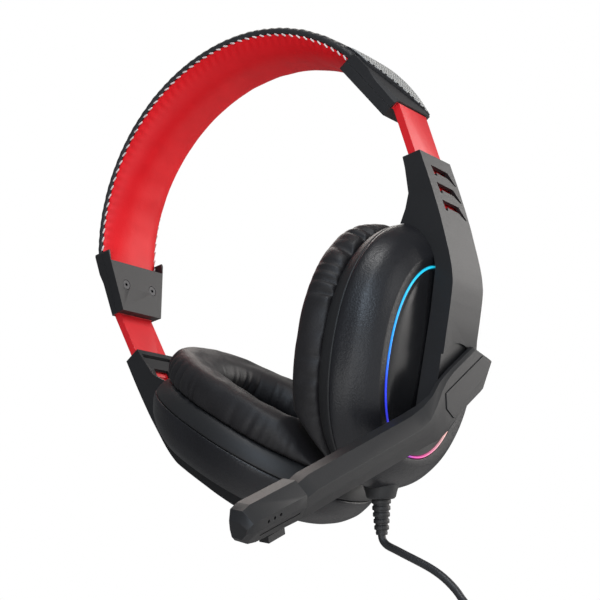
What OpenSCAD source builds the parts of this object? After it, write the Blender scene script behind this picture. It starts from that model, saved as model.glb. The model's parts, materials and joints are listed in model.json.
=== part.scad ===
// Gaming headset: padded headband, two forked yokes, two closed ear cups, a swinging microphone arm
// and a lead. Upright as worn: +X is the wearer's left, -Y is the front, +Z is up. Sizes in mm.

/* [Headband] */
// Height of the centre of the headband's arc above the ear centres
arc_height = 80; // [60:1:100]
// Outer radius of the headband's cover
cover_radius = 82.2; // [70:0.1:95]
// Thickness of the cover shell
cover_thick = 1.8; // [1:0.1:3]
// Width of the headband, front to back
band_width = 33.2; // [25:0.1:45]
// Angle above level at which the padded arc ends, at each end
band_end_angle = 19; // [10:1:30]
// Thickness of the spring that runs inside the headband
spring_thick = 0.9; // [0.5:0.1:1.5]
// Width of the spring
spring_width = 20; // [12:0.5:25]
// Thickness of the head pad at the crown
pad_thick = 11.2; // [4:0.1:14]

/* [Sliders] */
// Lean of the slider bars, in degrees from vertical
slider_lean = 5.7; // [0:0.1:10]
// Width of the slider bar, front to back
bar_width = 20; // [12:0.5:24]
// Thickness of the slider bar
bar_thick = 3.2; // [2:0.1:5]
// Clearance between the bar and the yoke's channel
bar_clear = 0.3; // [0.1:0.05:0.6]
// Spacing of the two screws in an end cap
cap_screw_gap = 16.8; // [10:0.1:20]

/* [Cups] */
// Lean of an ear cup, in degrees from vertical
cup_lean = 35.4; // [0:0.1:45]
// Lean of the yoke's lower half and of the microphone arm's pivot, in degrees from vertical
yoke_lean = 34; // [0:0.1:45]
// Half height of the cup's seam outline
cup_half_height = 51; // [40:0.5:60]
// Half width of the cup's seam outline
cup_half_width = 42; // [30:0.5:50]
// Squareness of the cup's outline, where 2 is an ellipse
cup_square = 2.2; // [2:0.05:3]
// Wall of the cup shell
cup_wall = 2; // [1.2:0.1:3]
// Half height of the light ring
ring_half_height = 35.5; // [25:0.5:45]
// Half width of the light ring
ring_half_width = 26.2; // [20:0.1:35]
// Radius of the speaker driver
driver_radius = 20; // [15:0.5:25]

/* [Microphone arm] */
// Angle of the arm below level, in degrees, measured in the cup's face
arm_dip = 23.4; // [0:0.1:60]
// Radius of the pivot shaft
pivot_radius = 4; // [3:0.1:6]
// Radial clearance of the pivot
pivot_clear = 0.06; // [0.01:0.01:0.1]

/* [Lead] */
// Diameter of the lead
lead_dia = 3; // [2:0.1:5]
// Mean radius of the coiled lead
coil_radius = 16.5; // [14:0.5:30]
// Radius of the coil's rounded section
coil_section = 7.5; // [4:0.5:10]

/* [Hidden] */

$fn = 64;
// Sides of the outlines that are lofted
outline_sides = 40;
// Small overlap used only when cutting
cut = 1;

// Centre of the left cup's seam
cup_at = [34.7, -1.8, -4.8];
// Centre of the yoke's own frame, beside the cup's
yoke_at = [34, -2.3, -5.8];
// Where a bar's outer face meets the bottom of its end cap
bar_top = [82.3, 0, 81.5];
// Height of the cup outline's centre above the cup's origin
cup_rise = 0.7;
// Offset of the light ring towards the front
ring_front = -1.8;
// Lowest point of a cushion down the cup, where it rests against the other one in use
cushion_low = 44.4;
// Depth of a cushion's face behind the cup's seam
cushion_depth = 20.8;
// Nearest that a cushion comes to the middle of the headset
cushion_stop = 2.3;

// Profile of the dome: outline scale and height
dome_steps = [[1, 0], [0.985, 3.7], [0.955, 7.4], [0.915, 10], [0.86, 12.9], [0.78, 15.6]];

/* ---------- helpers ---------- */

function power(v, p) = sign(v) * pow(abs(v), p);

// Rounded outline with half height a down the cup and half width b front to back
function outline(a, b, at = [0, 0], n = cup_square, sides = outline_sides) =
  [for (i = [0:sides - 1]) let (t = 360 * i / sides)
    [at[0] + a * power(cos(t), 2 / n), at[1] + b * power(sin(t), 2 / n)]];

// The same outline at a height
function ring(a, b, z, at = [0, 0], n = cup_square, sides = outline_sides) =
  [for (p = outline(a, b, at, n, sides)) [p[0], p[1], z]];

// Side faces between rings of equal count
function side_faces(rows, count, closed = false) =
  [for (r = [0:rows - (closed ? 1 : 2)], i = [0:count - 1])
    let (a = r * count + i, b = r * count + (i + 1) % count,
         c = ((r + 1) % rows) * count + (i + 1) % count, d = ((r + 1) % rows) * count + i)
    each [[a, d, c], [a, c, b]]];

function held(p, i) = p[max(0, min(len(p) - 1, i))];

// Smooth line through points
function curve(p, per) =
  concat([for (i = [0:len(p) - 2], k = [0:per - 1])
    let (t = k / per, a = held(p, i - 1), b = p[i], c = p[i + 1], d = held(p, i + 2))
      0.5 * (2 * b + (c - a) * t + (2 * a - 5 * b + 4 * c - d) * t * t
        + (3 * b - a - 3 * c + d) * t * t * t)], [p[len(p) - 1]]);

function flat_list(rings) = [for (r = rings, p = r) p];

// Solid through a stack of rings, flat at both ends
module loft(rings) {
  count = len(rings[0]);
  rows = len(rings);
  first = [for (i = [0:count - 1]) i];
  last = [for (i = [count - 1:-1:0]) (rows - 1) * count + i];
  polyhedron(flat_list(rings), concat([first], side_faces(rows, count), [last]));
}

// Closed ring-shaped solid through a loop of rings
module ring_loft(rings) {
  polyhedron(flat_list(rings), side_faces(len(rings), len(rings[0]), true));
}

// Places a left-hand piece drawn in the cup's frame: x down the cup, y back, z outward
module in_cup() {
  translate(cup_at) rotate([0, 90 + cup_lean, 0]) children();
}

// Places a left-hand piece drawn in the yoke's frame, with the same axes as the cup's
module in_yoke() {
  translate(yoke_at) rotate([0, 90 + yoke_lean, 0]) children();
}

// Places a piece drawn along a slider bar: x out of the bar's face, y back, z up from the cap
module on_bar() {
  translate(bar_top) rotate([0, slider_lean, 0]) children();
}

// Arc of rectangular section about the headband's centre, from angle a to its mirror
module band_arc(inner, outer, width, a) {
  translate([0, width / 2, arc_height]) rotate([90, 0, 0])
    rotate_extrude(angle = 180 - 2 * a, start = a, $fn = 128)
      translate([inner, 0]) square([outer - inner, width]);
}

module other_side() {
  mirror([1, 0, 0]) children();
}

/* ---------- headband ---------- */

module band_cover() {
  color([0.05, 0.05, 0.05])
    band_arc(cover_radius - cover_thick, cover_radius, band_width, band_end_angle);
}

spring_outer = cover_radius - cover_thick - 0.2;
spring_inner = spring_outer - spring_thick;
// The pad is a crescent: its inner face is an arc about a lower centre
pad_drop = 12;

module band_pad() {
  pad_outer = spring_inner - 0.2;
  color([0.85, 0.05, 0.05]) difference() {
    band_arc(60, pad_outer, band_width, band_end_angle);
    translate([0, band_width, arc_height - pad_drop]) rotate([90, 0, 0])
      cylinder(h = 2 * band_width, r = pad_outer - pad_thick + pad_drop, $fn = 128);
  }
}

// Angle above level at which the spring ends, inside the end caps
spring_end_angle = 6;

// Spring arc, with its ends inside the end caps
module band_spring() {
  color([0.7, 0.7, 0.72]) difference() {
    band_arc(spring_inner, spring_outer, spring_width, spring_end_angle);
    cap_screw_holes();
    other_side() cap_screw_holes();
  }
}

/* ---------- end caps and slider bars ---------- */

cap_top = [73.2, 0, 106.4];
cap_bottom = [79.1, 0, 82.2];
cap_tilt = atan((cap_bottom[0] - cap_top[0]) / (cap_top[2] - cap_bottom[2]));
cap_length = 27.6;
cap_thick = 8.4;
cap_half_top = 17.9;
cap_half_bottom = 12.3;
// Height of the slanted corner at the foot of the cap
cap_corner = 3;
// Length of a cap screw under its head
cap_screw_length = 6.2;

// Frame of an end cap: x outward, y back, z up, from the middle of its foot
module in_cap() {
  translate(cap_bottom) rotate([0, -cap_tilt, 0]) children();
}

// Outline of the cap seen from outside, front edge cut by a bevel
module cap_block() {
  rotate([90, 0, 90]) translate([0, 0, -cap_thick / 2])
    linear_extrude(cap_thick)
      polygon([[-cap_half_bottom, 0], [cap_half_bottom, 0], [cap_half_bottom + 0.6, cap_corner],
        [cap_half_top, cap_length - 1], [cap_half_top - 0.4, cap_length],
        [-cap_half_top + 0.4, cap_length], [-cap_half_top, cap_length - 1],
        [-cap_half_bottom - 0.6, cap_corner]]);
}

// Bevel along the cap's front outer edge
module cap_bevels() {
  translate([cap_thick / 2, -cap_half_bottom - 1, -cut])
    rotate([10, 0, 45]) translate([-2, -2, 0]) cube([4, 4, cap_length + 4]);
}

// Room inside the cap for the bar's head, the spring and the band's end
module cap_room() {
  on_bar() translate([-bar_thick - 0.1, -bar_width / 2 - 0.1, -6])
    cube([bar_thick + 0.2, bar_width + 0.2, 8]);
  in_cap() translate([head_inner - 0.1, -11.1, -0.6]) cube([bar_thick + 0.2, 22.2, 17.8]);
  band_arc(spring_inner - 0.2, spring_outer + 0.2, spring_width + 0.4, 5.5);
  band_arc(spring_inner - 8, cover_radius + 0.1, band_width + 0.4, band_end_angle - 0.4);
}

screw_height = 12.6;
// Inner face of the bar's head, from the middle of the cap's thickness
head_inner = -0.1;

module cap_screw_holes(r = 1.3) {
  in_cap() for (s = [-1, 1])
    translate([-10, s * cap_screw_gap / 2, screw_height]) rotate([0, 90, 0])
      cylinder(h = 20, r = r, $fn = 24);
}

module cap_solid() {
  difference() {
    in_cap() cap_block();
    in_cap() cap_bevels();
    cap_room();
  }
}

module cap_half(outer) {
  intersection() {
    cap_solid();
    in_cap() translate([outer ? 0.05 : -20.05, -30, -5]) cube([20, 60, 40]);
  }
}

module cap_outer() {
  color([0.04, 0.04, 0.04]) difference() {
    cap_half(true);
    in_cap() for (s = [-1, 1])
      translate([-10, s * cap_screw_gap / 2, screw_height]) rotate([0, 90, 0])
        cylinder(h = 12.4, r = 1.2, $fn = 24);
  }
}

module cap_inner() {
  color([0.04, 0.04, 0.04]) difference() {
    cap_half(false);
    cap_screw_holes();
    in_cap() for (s = [-1, 1])
      translate([-cap_thick / 2 - cut, s * cap_screw_gap / 2, screw_height]) rotate([0, 90, 0])
        cylinder(h = 1.2 + cut, r = 2.3, $fn = 24);
  }
}

module cap_screws() {
  color([0.02, 0.02, 0.02]) in_cap() for (s = [-1, 1])
    translate([-cap_thick / 2 + 0.1, s * cap_screw_gap / 2, screw_height]) rotate([0, 90, 0])
      difference() {
        union() {
          cylinder(h = 1.1, r = 2.1, $fn = 24);
          cylinder(h = cap_screw_length, r = 1.15, $fn = 24);
        }
        translate([0, 0, -0.1]) cylinder(h = 0.8, r = 0.8, $fn = 6);
      }
}

bar_drop = 50;

module slider_bar() {
  color([0.85, 0.04, 0.04]) difference() {
    union() {
      on_bar() translate([-bar_thick, -bar_width / 2, -bar_drop])
        cube([bar_thick, bar_width, bar_drop + 1.2]);
      in_cap() translate([head_inner, -11, 0]) cube([bar_thick, 22, 16.8]);
    }
    on_bar() for (k = [0:8])
      translate([-bar_thick - 0.1, -4, -bar_drop + 4 + 3 * k]) cube([0.7, 8, 1.2]);
    band_arc(spring_inner - 0.1, spring_outer + 20, spring_width + 6, 5);
    cap_screw_holes();
  }
}

/* ---------- yoke ---------- */

// Outer profile of the yoke in the cup's frame: [down the cup, outward]
yoke_out = [[-81.2, 4], [-69, 10.6], [-57, 16.6], [-47.7, 20.7], [-40, 23.9], [-34, 25.8],
  [-27.6, 26.7], [-9.2, 26.7], [2.8, 26.2], [23, 24.6]];
yoke_front = -9.1;
yoke_back = 13.7;
yoke_wall = 1.5;

// Side view of the yoke's walls, from the outer profile in to the bar and the dome
module yoke_side() {
  polygon(concat(curve(yoke_out, 4), [[24.6, 21.5], [24.6, 13], [0, 13], [-20, 12], [-30, 10], [-37, 8],
    [-43, 4], [-48, 0], [-52, -0.2], [-58, 1.2], [-64, 1.6], [-74, -1.6], [-78.4, -3.4]]));
}

// Room between the yoke's walls, open to the wearer's side above the cup
module yoke_room_side() {
  polygon([[-76.8, 4.6], [-68, 8.8], [-56.2, 14.9], [-47, 18.9], [-39.4, 22], [-33.6, 23.8],
    [-27.4, 24.7], [-9.2, 24.7], [-7, 24.4], [-7, 8], [-40, 0], [-50, -4], [-62, -2], [-76, -6]]);
}

module extrude_y(from, to) {
  translate([0, to, 0]) rotate([90, 0, 0]) linear_extrude(to - from) children();
}

// Channel the bar slides in, open through the top of the yoke
module bar_channel() {
  on_bar() translate([-bar_thick - bar_clear, -bar_width / 2 - bar_clear, -68])
    cube([bar_thick + 2 * bar_clear, bar_width + 2 * bar_clear, 80]);
}

// One hook-shaped slot seen from outside
module hook_slot() {
  polygon([[-6, 0.2], [6, -0.2], [9.8, -5.2], [9, -5.6], [4.6, -3.2], [-3.6, -2.7], [-3.6, -4.2],
    [-5.4, -4.2], [-5.6, -2.7]]);
}

// First slot below the end cap, and the step from one slot to the next
first_slot = -27.6;
slot_pitch = 7.7;

module yoke_slots() {
  for (k = [0:2])
    on_bar() translate([-bar_thick / 2, 0, first_slot - slot_pitch * k]) rotate([90, 0, 90])
      linear_extrude(12) hook_slot();
}

module yoke(with_arm) {
  color([0.04, 0.04, 0.04]) difference() {
    in_yoke() extrude_y(yoke_front, yoke_back) yoke_side();
    in_yoke() extrude_y(yoke_front + yoke_wall, yoke_back - yoke_wall) yoke_room_side();
    dome_solid(0.15);
    bar_channel();
    slot_pocket();
    yoke_slots();
    in_yoke() yoke_corner();
    if (with_arm) {
      in_yoke() translate([pivot_down, pivot_y, 10]) cylinder(h = 30, r = pivot_radius);
      in_yoke() translate([pivot_down, pivot_y, yoke_face - 1]) cylinder(h = 4, r = 14.6);
    }
    in_cup() for (p = yoke_screw_at) translate([p[0], p[1], 12]) cylinder(h = 9, r = 1.2, $fn = 24);
  }
}

// Cuts the yoke's lower back corner to a slant
module yoke_corner() {
  linear_extrude(40) polygon([[10, yoke_back + cut], [26, yoke_back + cut], [26, 1], [23.6, 1]]);
}

// Height of the yoke's outer face where the arm sits on it
yoke_face = 26.7;

// Room behind the slotted part of the outer plate
module slot_pocket() {
  on_bar() translate([-bar_thick, -bar_width / 2 - bar_clear, -51])
    cube([bar_thick + 1.1, bar_width + 2 * bar_clear, 26]);
}

// Screws that hold the yoke to the cup, put in from inside the cup before it is closed
yoke_screw_at = [[-3, 8.6], [17.5, 8.6], [17.5, -5]];

module yoke_screws() {
  color([0.5, 0.5, 0.52]) in_cup() for (p = yoke_screw_at) translate([p[0], p[1], 12.9]) {
    cylinder(h = 0.9, r = 2.2, $fn = 24);
    cylinder(h = 7.6, r = 1.15, $fn = 24);
  }
}

// Inner cover of the yoke, a plate between the bar's channel and the wearer's side
module yoke_liner() {
  color([0.04, 0.04, 0.04]) difference() {
    in_yoke() extrude_y(yoke_front + yoke_wall + 0.1, yoke_back - yoke_wall - 0.1)
      polygon([[-76, -1.1], [-74, -0.1], [-64, 4.7], [-57.6, 4.7], [-53, 2.4], [-52, 3.4],
        [-57.2, 5.9], [-64.3, 5.9], [-74.6, 1], [-76.5, 0]]);
    in_yoke() translate([-71, 2.3 - 4.5, -5]) cube([8.5, 9, 20]);
    bar_channel();
    dome_solid(0.15);
  }
}

/* ---------- cups ---------- */

// Dome used for cutting pieces that sit on it
module dome_solid(grow) {
  in_cup() loft(concat([ring(cup_half_height + grow, cup_half_width + grow, -2, [-cup_rise, 0])],
    [for (s = dome_steps) ring(s[0] * cup_half_height + grow, s[0] * cup_half_width + grow,
      s[1] + grow * 0.7, [-cup_rise, 0])],
    [ring(0.7 * cup_half_height, 0.7 * cup_half_width, 17.3, [-cup_rise, 0]),
     ring(0.4 * cup_half_height, 0.4 * cup_half_width, 18.2, [-cup_rise, 0])]));
}

// Opening in the cup for the face plate, a little outside the light ring
mouth_a = ring_half_height + 1.1;
mouth_b = ring_half_width + 1.1;

module cup(with_lead) {
  at = [-cup_rise, 0];
  outside = [for (s = dome_steps) ring(s[0] * cup_half_height, s[0] * cup_half_width, s[1], at)];
  inside = [for (i = [len(dome_steps) - 1:-1:0]) let (s = dome_steps[i])
    ring(s[0] * cup_half_height - cup_wall, s[0] * cup_half_width - cup_wall,
      max(0, s[1] - cup_wall * (i > 1 ? 1 : 0)), at)];
  rim = [ring(mouth_a, mouth_b, 16, [0, ring_front]), ring(mouth_a, mouth_b, 13.8, [0, ring_front])];
  color([0.03, 0.03, 0.03]) difference() {
    union() {
      in_cup() ring_loft(concat(outside, rim, inside));
      in_cup() for (p = cup_screw_at) translate([p[0], p[1], 0.2]) cylinder(h = 11.6, r = 2.8, $fn = 24);
    }
    in_cup() for (p = cup_screw_at) translate([p[0], p[1], 0]) cylinder(h = 9, r = 1.2, $fn = 24);
    if (with_lead) in_exit() translate([0, 0, -0.1]) cylinder(h = 20, r = 5.05, $fn = 32);
    if (with_lead) in_exit() translate([0, 0, -12]) cylinder(h = 30, r = 2.4, $fn = 32);
  }
}

// Raised face plate inside the light ring
module face(with_arm) {
  color([0.03, 0.03, 0.03]) difference() {
    in_cup() loft([ring(34.2, 24.9, 13.9, [0, ring_front]), ring(34.2, 24.9, 15.4, [0, ring_front]),
      ring(33.4, 24.2, 16, [0, ring_front]), ring(20, 14, 17.6, [0, ring_front])]);
    in_cup() for (p = yoke_screw_at) translate([p[0], p[1], 12]) cylinder(h = 9, r = 1.3, $fn = 24);
    if (with_arm) in_yoke() translate([pivot_down, pivot_y, 0]) cylinder(h = 30, r = 3.2);
  }
}

module light() {
  color([0.2, 0.6, 1, 0.6]) in_cup() ring_loft([
    ring(mouth_a - 0.1, mouth_b - 0.1, 13.9, [0, ring_front]),
    ring(mouth_a - 0.1, mouth_b - 0.1, 15.9, [0, ring_front]),
    ring(34.4, 25.1, 15.9, [0, ring_front]), ring(34.4, 25.1, 13.9, [0, ring_front])]);
}

module light_board() {
  color([0.1, 0.35, 0.15]) difference() {
    in_cup() translate([0, ring_front, 11.4]) linear_extrude(1.4)
      polygon(outline(35, 25.4));
    in_cup() translate([0, ring_front, 10]) linear_extrude(4) polygon(outline(24, 16));
  }
}

baffle_steps = [[0.985, -0.1], [0.99, -1.6], [0.95, -5.4], [0.9, -7.4]];

module baffle(with_lead) {
  at = [-cup_rise, 0];
  color([0.04, 0.04, 0.04]) difference() {
    in_cup() loft([for (i = [3:-1:0]) let (s = baffle_steps[i])
      ring(s[0] * cup_half_height, s[0] * cup_half_width, s[1], at)]);
    in_cup() translate([0, 0, -5.6]) linear_extrude(8) difference() {
      polygon(outline(43.5, 34.6, at));
      circle(r = driver_radius + 5);
      for (p = cup_screw_at) translate(p) circle(r = 3, $fn = 24);
    }
    in_cup() translate([0, 0, -5.9]) cylinder(h = 10, r = driver_radius + 3);
    in_cup() for (i = [0:8], j = [0:8]) let (x = (i - 4) * 4, y = (j - 4) * 4)
      if (x * x + y * y < 290) translate([x, y, -9]) cylinder(h = 6, r = 1.1, $fn = 8);
    in_cup() for (p = cup_screw_at) translate([p[0], p[1], -9]) {
      cylinder(h = 12, r = 1.3, $fn = 24);
      cylinder(h = 2.3, r = 2.4, $fn = 24);
    }
    if (with_lead) in_exit() translate([0, 0, -0.1]) cylinder(h = 20, r = 5.05, $fn = 32);
    if (with_lead) in_exit() translate([0, 0, -12]) cylinder(h = 30, r = 2.4, $fn = 32);
  }
}

cup_screw_at = [[33, 20], [33, -20], [-34, 20], [-34, -20]];

module cup_screws() {
  color([0.5, 0.5, 0.52]) in_cup() for (p = cup_screw_at)
    translate([p[0], p[1], -7.2]) {
      cylinder(h = 0.5, r = 2.2, $fn = 24);
      cylinder(h = 12, r = 1.2, $fn = 24);
    }
}

module driver() {
  color([0.45, 0.45, 0.47]) in_cup() difference() {
    union() {
      translate([0, 0, -5.8]) cylinder(h = 1.6, r = driver_radius + 2.8);
      translate([0, 0, -4.2]) cylinder(h = 3.4, r1 = driver_radius, r2 = 15);
      translate([0, 0, -1.2]) cylinder(h = 5.8, r = 10.5);
    }
    translate([0, 0, -5.9]) cylinder(h = 2.4, r = driver_radius - 1);
    translate([0, 0, -4]) cylinder(h = 3, r = 8);
  }
}

module cone() {
  color([0.7, 0.7, 0.65]) in_cup() translate([0, 0, -5.6]) rotate_extrude()
    polygon([[0, 1.2], [5, 0.6], [8, 1.4], [14, 0.2], [18.8, 0.9], [18.8, 1.1], [14, 0.5],
      [8, 1.7], [5, 0.9], [0, 1.5]]);
}

// Depth of the cushion's face at one point of its outline, kept off the other cushion
function cushion_floor(x) =
  max(-cushion_depth, (cushion_stop - cup_at[0] + x * sin(cup_lean)) / cos(cup_lean));

// One ring of the cushion: outline scale, and how far it stands from the baffle to the face
function pad_ring(k, part) =
  [for (p = outline(k * cup_half_height, k * cup_half_width, [-cup_rise, 0]))
    let (x = min(p[0], cushion_low)) [x, p[1], -7.7 + part * min(-0.4, cushion_floor(x) + 7.7)]];

module cushion() {
  color([0.05, 0.05, 0.05]) in_cup() ring_loft([
    pad_ring(0.9, 0), pad_ring(0.945, 0.25), pad_ring(0.945, 0.6), pad_ring(0.9, 0.9),
    pad_ring(0.82, 1), pad_ring(0.7, 0.98), pad_ring(0.58, 0.85), pad_ring(0.53, 0.55),
    pad_ring(0.54, 0.2), pad_ring(0.6, 0)]);
}

module cloth() {
  color([0.08, 0.08, 0.08]) in_cup() translate([0, 0, -8.4]) linear_extrude(0.6)
    polygon(outline(26.6, 21.8, [-cup_rise, 0]));
}

/* ---------- microphone arm ---------- */

pivot_down = 5.5;
pivot_y = 2.3;

// Frame of the arm: x along the bar to the front, y up across it, z outward from the cup
module in_arm() {
  in_yoke() translate([pivot_down, pivot_y, 0]) rotate([0, 0, -90 + arm_dip]) mirror([0, 1, 0])
    children();
}

// Sections of the arm: distance along it, top, bottom, inner face, outer face, how boxed out it is
arm_stations = [[-21.8, 3.3, 1.4, 27, 29.6, 0], [-19.8, 4.8, -1.3, 27, 29.6, 0],
  [-14.1, 8.7, -7.3, 27, 29.6, 0], [-10.9, 10.9, -8, 27, 29.6, 0], [1.3, 8.1, -10.9, 27, 29.6, 0],
  [5.2, 7.1, -12.7, 27, 29.6, 0], [10.5, 5.5, -14.9, 27, 29.6, 0.1], [14.4, 4.1, -15.6, 27, 29.8, 0.3],
  [19, 1, -16.2, 27, 30, 0.6], [24, -2, -16.6, 24, 30.2, 0.9], [31, -3.6, -16.9, 21.8, 30.3, 1],
  [60, -3.8, -17, 21.7, 30.3, 1], [92, -4, -17, 21.6, 30.3, 1], [96.6, -4.9, -17, 21.6, 30.2, 1],
  [98.4, -5.4, -16.9, 21.6, 30, 1]];
// The same for the shell round the microphone
pod_stations = [[98.6, -3.7, -16.8, 21.3, 30.5, 1], [104, -3.6, -16.4, 21.2, 30.6, 1],
  [121.5, -3.4, -15.6, 21.2, 30.6, 1], [125.2, -4.2, -14.8, 21.4, 30.3, 1],
  [127.2, -7.2, -12.8, 22.2, 29.2, 1]];

// One section: flat plate at b = 0, six-sided beam at b = 1
function arm_ring(s) =
  let (top = s[1], low = s[2], near = s[3], far = s[4], b = s[5], tall = top - low, deep = far - near,
       c = min(1.2, tall * 0.4))
    [[s[0], top, near], [s[0], top, near + deep * (0.6 - 0.05 * b)],
     [s[0], top - c - b * (tall * 0.34 - c), far],
     [s[0], low + c + b * (tall * 0.36 - c), far - 0.7 * b],
     [s[0], low, near + deep * 0.6], [s[0], low + 0.4 * b, near + 0.3 * b],
     [s[0], (top + low) / 2, near - 0.1]];

function arm_loft(stations) = [for (s = stations) arm_ring(s)];

// The section shrunk towards its middle, for the hollow inside
function shrunk(s, t) = [s[0], s[1] - t, s[2] + t, s[3] + t, s[4] - t, s[5]];

module arm_beam() {
  color([0.04, 0.04, 0.04]) difference() {
    in_arm() loft(arm_loft(arm_stations));
    in_arm() loft(arm_loft([for (i = [10:14]) let (s = shrunk(arm_stations[i], 1.6))
      [s[0] + (i == 14 ? 1 : 0), s[1], s[2], s[3], s[4], s[5]]]));
    in_arm() translate([0, 0, 26]) cylinder(h = 2.1, r = pivot_radius + pivot_clear);
    in_arm() translate([0, 0, 26]) cylinder(h = 5, r = 1.6, $fn = 32);
    in_arm() translate([0, 0, 28.4]) cylinder(h = 3, r = 2.3, $fn = 32);
    in_arm() translate([0, 0, 29.3]) linear_extrude(1) polygon(panel_outline(0.1));
  }
}

// Outline of the panel let into the arm's head
function panel_outline(grow) =
  [[12.4 + grow, -0.2], [-15.4, 6.3 + grow], [-20 - grow, 2.1], [-18.1 - grow, -0.8 - grow],
   [8.5, -10.9 - grow], [12.6 + grow, -6.2 - grow]];

module arm_panel() {
  color([0.02, 0.02, 0.02]) in_arm() translate([0, 0, 29.35]) linear_extrude(0.65)
    polygon(panel_outline(0));
}

// First sound hole along the arm, and the step to the next
hole_start = 112;
hole_gap = 3;

module mic_shell() {
  color([0.04, 0.04, 0.04]) difference() {
    in_arm() loft(arm_loft(pod_stations));
    in_arm() loft(arm_loft([for (i = [0:2]) let (s = shrunk(pod_stations[i], 1.4))
      [s[0] - (i == 0 ? 1 : 0) - (i == 2 ? 1 : 0), s[1], s[2], s[3] - 3, s[4], s[5]]]));
    // Three sound holes in the outer face
    in_arm() for (k = [0:2]) translate([hole_start + hole_gap * k, -9.6, 24]) cylinder(h = 10, r = 0.55, $fn = 12);
    // Fine groove along the lower face
    in_arm() translate([101, -13.3, 28.3]) rotate([34, 0, 0])
      translate([0, -0.35, -0.4]) cube([20, 0.7, 2]);
  }
}

// Cap that closes the shell on the mouth side, with a small foot that stands below the arm
module mic_cover() {
  color([0.03, 0.03, 0.03]) difference() {
    in_arm() union() {
      translate([99.6, 0, 20.2]) linear_extrude(0.9) polygon([[0, -5], [20, -5], [20, -16], [0, -16]]);
      translate([104, -20.2, 20.2]) cube([8.4, 4.6, 0.9]);
      translate([104, -20.2, 20.2]) cube([8.4, 2.4, 4]);
    }
    in_arm() for (i = [-1:1], j = [-1:1]) translate([110 + 2.4 * i, -10.6 + 2.4 * j, 10])
      cylinder(h = 14, r = 0.6, $fn = 12);
  }
}

module mic_capsule() {
  color([0.6, 0.6, 0.6]) in_arm() translate([110, -10.6, 21.3]) cylinder(h = 4, r = 3);
}

// Short shaft fixed in the yoke that the arm turns about
module arm_mount() {
  color([0.04, 0.04, 0.04]) in_arm() difference() {
    translate([0, 0, 18.6]) cylinder(h = 9.4, r = pivot_radius);
    translate([0, 0, 20]) cylinder(h = 12, r = 1.15, $fn = 32);
  }
}

module arm_screw() {
  color([0.5, 0.5, 0.52]) in_arm() {
    translate([0, 0, 21]) cylinder(h = 7.5, r = 1.15, $fn = 32);
    translate([0, 0, 28.45]) cylinder(h = 0.7, r = 2.1, $fn = 32);
  }
}

/* ---------- lead ---------- */

// Route of the lead, from the end of the sleeve to the coil
lead_route = [[-0.4, 0.7, -61.7], [-0.9, 0.9, -63.6], [0, 1, -66.2], [2.8, 1, -69.4],
  [6, 1, -73], [9.8, 1, -77.2], [13.9, 1, -82], [17.4, 1, -87.2], [20, 1.2, -93],
  [21.4, 1.4, -100], [22, 1.5, -106.5]];
// Centre of the coil that stands for the rest of the lead
coil_at = [22, 1.5, -131];

function unit(v) = v / norm(v);

// Direction of the route at one point
function heading(i) =
  unit(lead_route[min(i + 1, len(lead_route) - 1)] - lead_route[max(i - 1, 0)]);

function lead_ring(i, sides) =
  let (d = heading(i), a = unit(cross(d, [0, 1, 0])), b = cross(a, d))
    [for (k = [0:sides - 1]) let (t = 360 * k / sides)
      lead_route[i] + lead_dia / 2 * (cos(t) * a + sin(t) * b)];

module lead() {
  color([0.03, 0.03, 0.03]) loft([for (i = [0:len(lead_route) - 1]) lead_ring(i, 8)]);
}

// Frame of the lead's exit: z runs down the cup, out of its bottom edge
module in_exit() {
  in_cup() translate([47, 0.4, 1.6]) rotate([0, 82, 0]) rotate([-6, 0, 0]) children();
}

module lead_collar() {
  color([0.03, 0.03, 0.03]) difference() {
    in_exit() cylinder(h = 6.5, r = 5, $fn = 32);
    in_exit() translate([0, 0, -1]) cylinder(h = 9, r = 2.2, $fn = 32);
  }
}

module lead_sleeve() {
  color([0.03, 0.03, 0.03]) in_exit() rotate_extrude($fn = 32)
    polygon([[1.55, 6.7], [3.6, 6.7], [3.6, 8.6], [2.9, 8.8], [2.9, 9.8], [3.5, 10], [3.4, 11.8],
      [2.7, 12], [2.7, 13], [3.2, 13.2], [3.1, 15], [2.5, 15.2], [2.5, 16.2], [2.9, 16.4],
      [2.8, 18], [2.3, 18.2], [2.1, 20], [1.55, 20]]);
}

module lead_coil() {
  color([0.03, 0.03, 0.03]) translate(coil_at) rotate([90, 0, 0]) rotate_extrude($fn = 48)
    translate([coil_radius, 0]) circle(r = coil_section, $fn = 16);
}

module coil_tie() {
  color([0.03, 0.03, 0.03]) translate(coil_at + [coil_radius, 0, 0])
    rotate_extrude($fn = 32) translate([coil_section + 0.5, -3]) square([1, 6]);
}

// End of the lead, from the coil down to the plug
tail_length = 9;

module lead_tail() {
  color([0.03, 0.03, 0.03]) translate(coil_at - [0, 0, coil_radius + coil_section + tail_length])
    cylinder(h = tail_length, r = lead_dia / 2, $fn = 24);
}

// Where the lead enters the plug
plug_at = coil_at - [0, 0, coil_radius + coil_section + tail_length];
// Type A USB plug: shell width, thickness, length, and sheet
shell_width = 12;
shell_thick = 4.5;
shell_length = 12;
shell_sheet = 0.3;
// Moulded grip of the plug: strain relief, then the block
relief_length = 9;
grip_length = 20;
grip_width = 16;
grip_thick = 8;

module plug_body() {
  color([0.03, 0.03, 0.03]) translate(plug_at) {
    translate([0, 0, -relief_length]) cylinder(h = relief_length, r1 = 4, r2 = 2.6, $fn = 32);
    translate([-grip_width / 2, -grip_thick / 2, -relief_length - grip_length])
      cube([grip_width, grip_thick, grip_length]);
  }
}

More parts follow.
